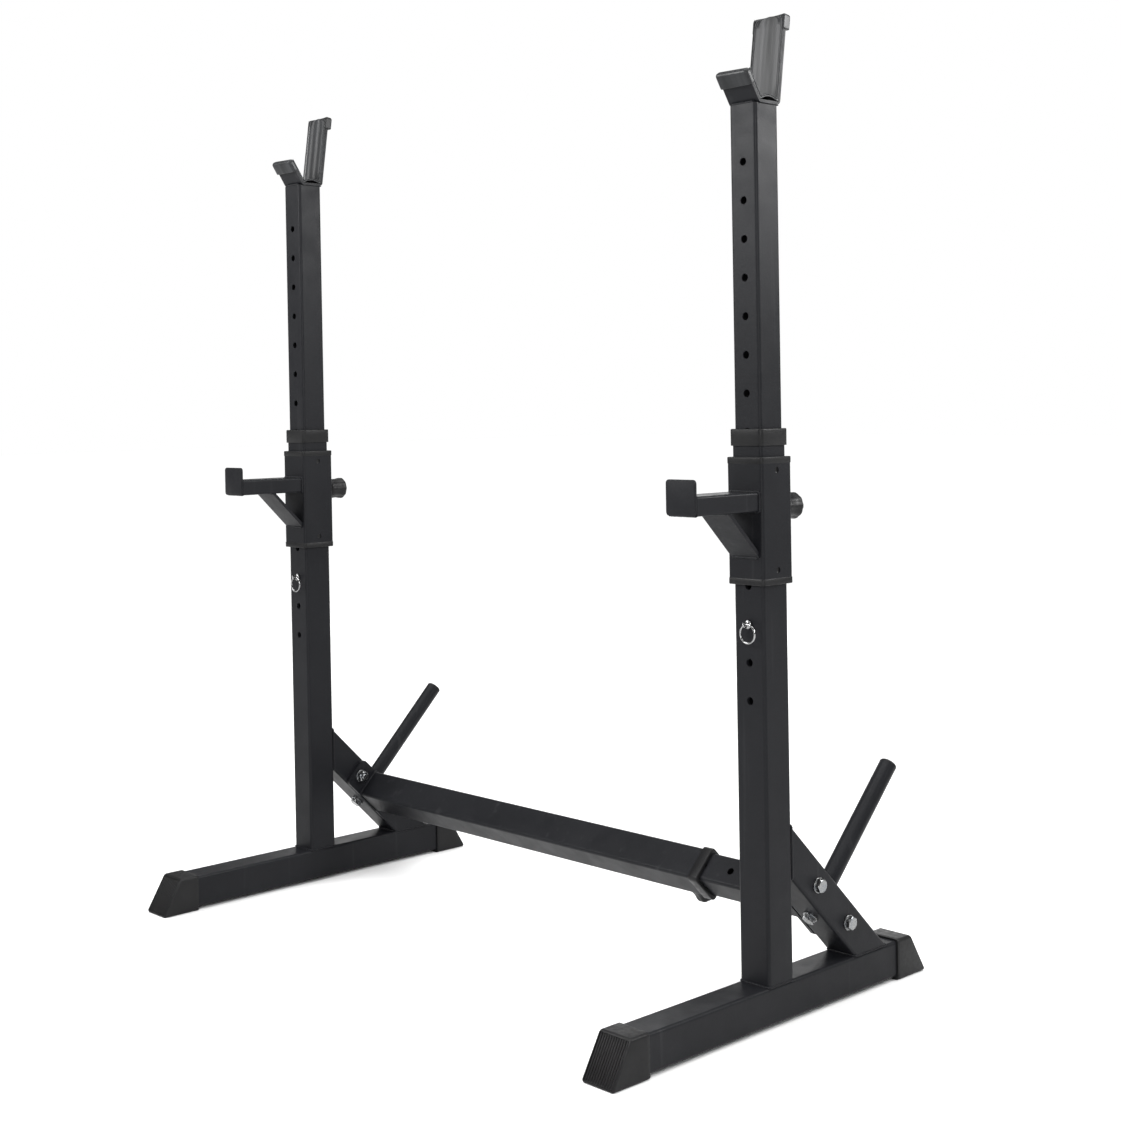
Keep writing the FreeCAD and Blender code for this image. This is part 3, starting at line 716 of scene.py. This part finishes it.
def brace_fasteners(side):
    """Two bolts through brace and flange with their nuts, and the bolt that holds the horn."""
    sx = SIDES[side]
    name = side + "_brace_fasteners"
    flange_low, flange_high = box(side + "_flange_plate")
    brace_low, brace_high = box(side + "_rear_brace")
    join = (flange_low + flange_high) / 2
    slope = Vector((0, 1, -1)).normalized()
    outer = brace_high.x if sx > 0 else brace_low.x
    inner = flange_low.x if sx > 0 else flange_high.x
    shape = Shape()
    for step in (-BOLT_STEP, BOLT_STEP):
        spot = join + slope * step
        head = pose((outer, spot.y, spot.z), (sx, 0, 0), 11 + step)
        hexagon_head(shape, head, WASHER_T, WASHER_T + HEAD_H)
        washer(shape, head, 0)
        foot = pose((inner, spot.y, spot.z), (-sx, 0, 0), 25 - step)
        washer(shape, foot, 0)
        hexagon_head(shape, foot, WASHER_T, WASHER_T + NUT_H, chamfer_low=True)
        end = foot @ Matrix.Translation((0, 0, BOLT_END)) @ Matrix.Rotation(math.pi, 4, "X")
        thread(shape, end, 0, THREAD_SHOWN)
    half = (brace_high.x - brace_low.x) / 2
    down = Vector((0, -1, -1)).normalized()
    front = Vector((middle(side + "_rear_brace").x, join.y, join.z)) + down * half
    place = pose(front, down, 20)
    hexagon_head(shape, place, WASHER_T, WASHER_T + HEAD_H)
    washer(shape, place, 0)
    piece(name + "_set", shape, side + "_stand", "zinc", [name], sharp=28)


def ring_pin(side):
    """The height pin: a chamfered shank, a domed collar, and an eye for the ring."""
    name = side + "_ring_pin"
    low, high = box(name)
    centre = middle(name)
    place = pose((centre.x, 0, centre.z), -Y_AXIS, RING_LEAN)
    back, out, face, r = -high.y, -low.y, PIN_FACE, PIN_R
    shape = Shape()
    shape.lathe([(0.01, back), (r - 1.6, back), (r - 0.4, back + 1.1), (r, back + 2.0), (r, face),
                 (5.5, face), (6.0, face + 0.5), (6.0, face + 2.4), (5.6, face + 3.2),
                 (4.4, face + 4), (0.01, face + 4.2)], place)
    eye = out - EYE_OFFSET
    loop = [(0, EYE_R * math.cos(a), eye + EYE_R * math.sin(a)) for a in arc(0, 360, 40)[:-1]]
    shape.sweep(loop, lambda i: EYE_WIRE_R, closed=True, segments=14, matrix=place)
    shape.lathe([(0.01, face + 3.6), (2.3, face + 3.6), (2.1, face + 4.4), (1.6, eye - 2.9),
                 (0.01, eye - 2.6)], place, 24)
    piece(name + "_body", shape, side + "_height_pin", "chrome", [name], sharp=40)


def pull_ring(side):
    """A plain ring of round wire in front of the upright, with its butt joint at the bottom."""
    name = side + "_pull_ring"
    low, high = box(name)
    centre = (low + high) / 2
    wire = (high.y - low.y) / 2
    radius = (high.z - low.z) / 2 - wire
    count = 120
    path = [(centre.x + radius * math.sin(a), centre.y, centre.z + radius * math.cos(a))
            for a in (2 * math.pi * i / count for i in range(count))]
    shape = Shape()
    shape.sweep(path, lambda i: wire * (0.86 if i == count // 2 else 0.985), closed=True,
                segments=16)
    piece(name + "_wire", shape, side + "_ring", "chrome", [name], sharp=40)


def bush_pegs(side):
    """Four moulded pegs with dished heads, sunk in the sleeve's side walls."""
    name = side + "_bush_pegs"
    low, high = box(name)
    sleeve_low, sleeve_high = box(side + "_carriage_sleeve")
    shape = Shape()
    for way, face in ((-1, sleeve_low.x), (1, sleeve_high.x)):
        for z in (low.z + 4, high.z - 4):
            shape.lathe([(0.01, -PEG_LENGTH), (PEG_SHANK_R, -PEG_LENGTH),
                         (PEG_SHANK_R, -PEG_HEAD_BACK), (PEG_R, -PEG_HEAD_BACK), (PEG_R, -1.7),
                         (3.7, -1.5), (3.3, -1.6), (2.5, -2.1), (0.01, -2.2)],
                        pose((face, 0, z), (way, 0, 0)), 32)
    piece(name + "_set", shape, side + "_carriage", "black_plastic", [name])


# ---- welds ----
def bead(shape, corners, closed=True, radius=BEAD_R, seed=1, corner_r=0.0):
    """A rippled weld bead along a line through the corners."""
    draw = random.Random(seed)
    points = [Vector(c) for c in corners]
    if corner_r:
        rounded = []
        for i, b in enumerate(points):
            a, c = points[i - 1], points[(i + 1) % len(points)]
            start = b + (a - b).normalized() * corner_r
            end = b + (c - b).normalized() * corner_r
            rounded += [start.lerp(b, t).lerp(b.lerp(end, t), t) for t in (0, 0.25, 0.5, 0.75, 1)]
        points = rounded
    legs = list(zip(points, points[1:] + (points[:1] if closed else [])))
    path = []
    for a, b in legs:
        steps = max(1, round((b - a).length / BEAD_STEP))
        path += [a.lerp(b, k / steps) for k in range(steps)]
    if not closed:
        path.append(points[-1])
    wobble = [draw.uniform(-0.07, 0.07) for _ in range(len(path) // 4 + 3)]

    def radius_of(i):
        ripple = abs(math.sin(math.pi * i * BEAD_STEP / BEAD_PITCH))
        drift = wobble[i // 4] * (1 - i % 4 / 4) + wobble[i // 4 + 1] * (i % 4 / 4)
        ends = 1.0 if closed else min(1.0, 0.4 + min(i, len(path) - 1 - i) * 0.2)
        return radius * ends * (0.84 + 0.16 * ripple + drift)

    shape.sweep(path, radius_of, closed=closed, segments=10)


def rectangle(centre, u, v, half_u, half_v):
    c, u, v = Vector(centre), Vector(u), Vector(v)
    return [c + u * (half_u * a) + v * (half_v * b)
            for a, b in ((1, 1), (-1, 1), (-1, -1), (1, -1))]


def stand_welds(side):
    """Beads at the upright's foot, both ends of the brace, and the beam's end plate."""
    sx = SIDES[side]
    base_top = box(side + "_base_tube")[1].z
    up_low, up_high = box(side + "_upright_tube")
    x, half = (up_low.x + up_high.x) / 2, (up_high.x - up_low.x) / 2
    brace_low, brace_high = box(side + "_rear_brace")
    reach = half * math.sqrt(2)
    join = middle(side + "_flange_plate")
    shape = Shape()
    bead(shape, rectangle((x, 0, base_top + 0.2), X_AXIS, Y_AXIS, half - 0.6, half + 0.4),
         seed=3, corner_r=4)
    run = join.y + join.z
    bead(shape, rectangle((x, half + 0.4, run - half), X_AXIS, Z_AXIS, half - 0.8, reach + 0.4),
         seed=5, corner_r=4)
    bead(shape, rectangle((x, run - base_top, base_top + 0.4), X_AXIS, Y_AXIS, half - 0.8,
                          reach + 0.4), seed=7, corner_r=4)
    tube = "beam_outer_tube" if sx < 0 else "beam_inner_tube"
    tube_low, tube_high = box(tube)
    face = tube_low.x if sx < 0 else tube_high.x
    corner_loss = 2 * (math.sqrt(2) - 1) * TUBE_CORNER
    side_half = (tube_high.z - tube_low.z + corner_loss) / math.sqrt(2) / 2
    bead(shape, rectangle((face - sx * 0.3, join.y, join.z), (0, 0.7071, 0.7071),
                          (0, -0.7071, 0.7071), side_half + 0.2, side_half + 0.2),
         seed=11, corner_r=5, radius=2.1)
    piece(side + "_frame_welds", shape, side + "_stand", "powder_coat", sharp=60)


def carriage_welds(side):
    """Beads round the arm's root, its end plate and both ends of the gusset."""
    arm_low, arm_high = box(side + "_spotter_arm")
    gusset_low, gusset_high = box(side + "_arm_gusset")
    x = (arm_low.x + arm_high.x) / 2
    z, half_z = (arm_low.z + arm_high.z) / 2, (arm_high.z - arm_low.z) / 2
    half_x = (arm_high.x - arm_low.x) / 2
    shape = Shape()
    bead(shape, rectangle((x, arm_high.y - 0.4, z), X_AXIS, Z_AXIS, half_x + 0.3, half_z + 0.3),
         seed=13, corner_r=3, radius=2.2)
    bead(shape, rectangle((x, arm_low.y + 0.4, z), X_AXIS, Z_AXIS, half_x - 0.7, half_z - 0.1),
         seed=17, corner_r=3, radius=1.3)
    wide = half_x - 2.5
    for y, level, seed in ((gusset_low.y, gusset_high.z, 19),
                           (gusset_low.y + GUSSET_CUT, gusset_high.z, 23),
                           (gusset_high.y, gusset_low.z, 29),
                           (gusset_high.y, gusset_low.z + GUSSET_CUT, 31)):
        bead(shape, [(x - wide, y, level), (x + wide, y, level)], closed=False, seed=seed,
             radius=1.9)
    piece(side + "_carriage_welds", shape, side + "_carriage", "powder_coat", sharp=60)


def cradle_weld(side):
    """Beads under the cradle plate: a full one in the front wedge, and thin ones elsewhere."""
    low, high = box(side + "_upper_tube")
    x, half, top = (low.x + high.x) / 2, (high.x - low.x) / 2, high.z
    shape = Shape()
    bead(shape, [(x - 19, -half + 2.4, top + 1.2), (x + 19, -half + 2.4, top + 1.2)], closed=False,
         seed=37, radius=2.4)
    bead(shape, [(x - half + 0.1, -half + 5, top - 0.1), (x - half + 0.1, half, top - 0.1),
                 (x + half - 0.1, half, top - 0.1), (x + half - 0.1, -half + 5, top - 0.1)],
         closed=False, seed=41, radius=0.8)
    piece(side + "_cradle_weld", shape, side + "_upper", "powder_coat", sharp=60)


# ---- plates with rolled edges ----
def end_plate(side):
    """The stop at the arm's tip, with round corners and edges softened by the coating."""
    name = side + "_arm_end_plate"
    low, high = box(name)
    width, height, thick = high.x - low.x, high.z - low.z, high.y - low.y
    rings = []
    for a in arc(0, 90, 3):
        rings.append((PLATE_EDGE * (1 - math.sin(a)), PLATE_EDGE * (1 - math.cos(a))))
    rings += [(inset, thick - back) for inset, back in rings[::-1]]
    shape = Shape()
    outlines = [[(x, y, level) for x, y in square(width - 2 * inset, height - 2 * inset,
                                                  PLATE_CORNER - inset)] for inset, level in rings]
    shape.loft(outlines, pose((middle(name).x, high.y, middle(name).z), -Y_AXIS))
    piece(name + "_pressing", shape, side + "_carriage", "powder_coat", [name], sharp=50)


# ---- studio ----
def make_camera():
    a, e, roll = (math.radians(d) for d in (CAMERA_AZIMUTH, CAMERA_DIP, CAMERA_ROLL))
    right = Vector((math.cos(a), math.sin(a), 0))
    ahead = Vector((-math.sin(a) * math.cos(e), math.cos(a) * math.cos(e), -math.sin(e)))
    up = right.cross(ahead)
    x_axis = right * math.cos(roll) + up * math.sin(roll)
    y_axis = up * math.cos(roll) - right * math.sin(roll)
    turn = Matrix((x_axis, y_axis, -ahead)).transposed().to_4x4()
    camera = bpy.data.objects.new("camera", bpy.data.cameras.new("camera"))
    camera.matrix_world = Matrix.Translation(CAMERA_PLACE) @ turn
    camera.data.lens, camera.data.sensor_width = CAMERA_LENS, 36.0
    camera.data.shift_y = CAMERA_SHIFT_UP
    camera.data.clip_start, camera.data.clip_end = CAMERA_NEAR, CAMERA_FAR
    bpy.context.scene.collection.objects.link(camera)
    bpy.context.scene.camera = camera


def softbox(name, place, target, size, power, spread):
    """A rectangular light, as listed in SOFTBOXES."""
    data = bpy.data.lights.new(name, "AREA")
    data.shape, data.size, data.size_y, data.energy = "RECTANGLE", size[0], size[1], power
    data.spread = math.radians(spread)
    light = bpy.data.objects.new(name, data)
    light.location = place
    light.rotation_euler = (Vector(target) - Vector(place)).to_track_quat("-Z", "Y").to_euler()
    bpy.context.scene.collection.objects.link(light)


def make_world():
    """A plain white backdrop for the camera, and a dimmer room for everything else."""
    world = bpy.data.worlds.new("studio")
    bpy.context.scene.world = world
    world.use_nodes = True
    nodes, links = world.node_tree.nodes, world.node_tree.links
    room, backdrop = nodes["Background"], nodes.new("ShaderNodeBackground")
    room.inputs["Color"].default_value = (1.0, 1.0, 1.0, 1.0)
    room.inputs["Strength"].default_value = ROOM_LIGHT
    backdrop.inputs["Color"].default_value = (1.0, 1.0, 1.0, 1.0)
    backdrop.inputs["Strength"].default_value = 1.0
    mix = nodes.new("ShaderNodeMixShader")
    links.new(nodes.new("ShaderNodeLightPath").outputs["Is Camera Ray"], mix.inputs["Fac"])
    links.new(room.outputs["Background"], mix.inputs[1])
    links.new(backdrop.outputs["Background"], mix.inputs[2])
    links.new(mix.outputs["Shader"], nodes["World Output"].inputs["Surface"])


def make_studio():
    """A large overhead light, four softboxes, and a plain floor."""
    make_world()
    overhead = bpy.data.objects.new("overhead", bpy.data.lights.new("overhead", "SUN"))
    overhead.data.energy, overhead.data.angle = OVERHEAD_LIGHT, math.radians(OVERHEAD_ANGLE)
    bpy.context.scene.collection.objects.link(overhead)
    for light in SOFTBOXES:
        softbox(*light)
    mesh = bpy.data.meshes.new("studio_floor")
    corners = [(FLOOR_REACH * x, FLOOR_REACH * y, 0)
               for x, y in ((-1, -1), (1, -1), (1, 1), (-1, 1))]
    mesh.from_pydata(corners, [], [[0, 1, 2, 3]])
    mesh.materials.append(floor_finish())
    floor = bpy.data.objects.new("studio_floor", mesh)
    bpy.context.scene.collection.objects.link(floor)
    bpy.context.scene.view_settings.view_transform = "Standard"


# ---- the stand ----
materials = {"powder_coat": powder_coat(), "black_plastic": black_plastic(),
             "liner_rubber": liner_rubber(), "zinc": zinc(), "chrome": chrome(),
             "spring_steel": spring_steel()}
dress_frame()
for stand in SIDES:
    for foot_end in ("front", "rear"):
        foot_cap(stand, foot_end)
    upright_collar(stand)
    for bush_end in ("top", "bottom"):
        sleeve_bush(stand, bush_end)
    sleeve = box(stand + "_carriage_sleeve")
    knob_place = middle(stand + "_carriage_knob")
    plunger = (knob_place.x, sleeve[1].y, knob_place.z)
    knob(stand + "_carriage_knob", stand + "_carriage_plunger", plunger, Y_AXIS)
    plunger_spring(stand + "_carriage_plunger_spring", stand + "_carriage",
                   plunger, Y_AXIS)
    horn_cap(stand)
    cradle_liner(stand)
    brace_fasteners(stand)
    ring_pin(stand)
    pull_ring(stand)
    bush_pegs(stand)
    stand_welds(stand)
    carriage_welds(stand)
    cradle_weld(stand)
    end_plate(stand)
beam_collar()
knob_low, knob_high = box("beam_knob")
beam_middle = middle("beam_outer_tube")
down = Vector((0, 1, -1)).normalized()
plunger = Vector(((knob_low.x + knob_high.x) / 2, beam_middle.y, beam_middle.z)) + down * BEAM_HALF
knob("beam_knob", "beam_plunger", plunger, down)
plunger_spring("beam_plunger_spring", "left_stand", plunger, down)
make_camera()
make_studio()
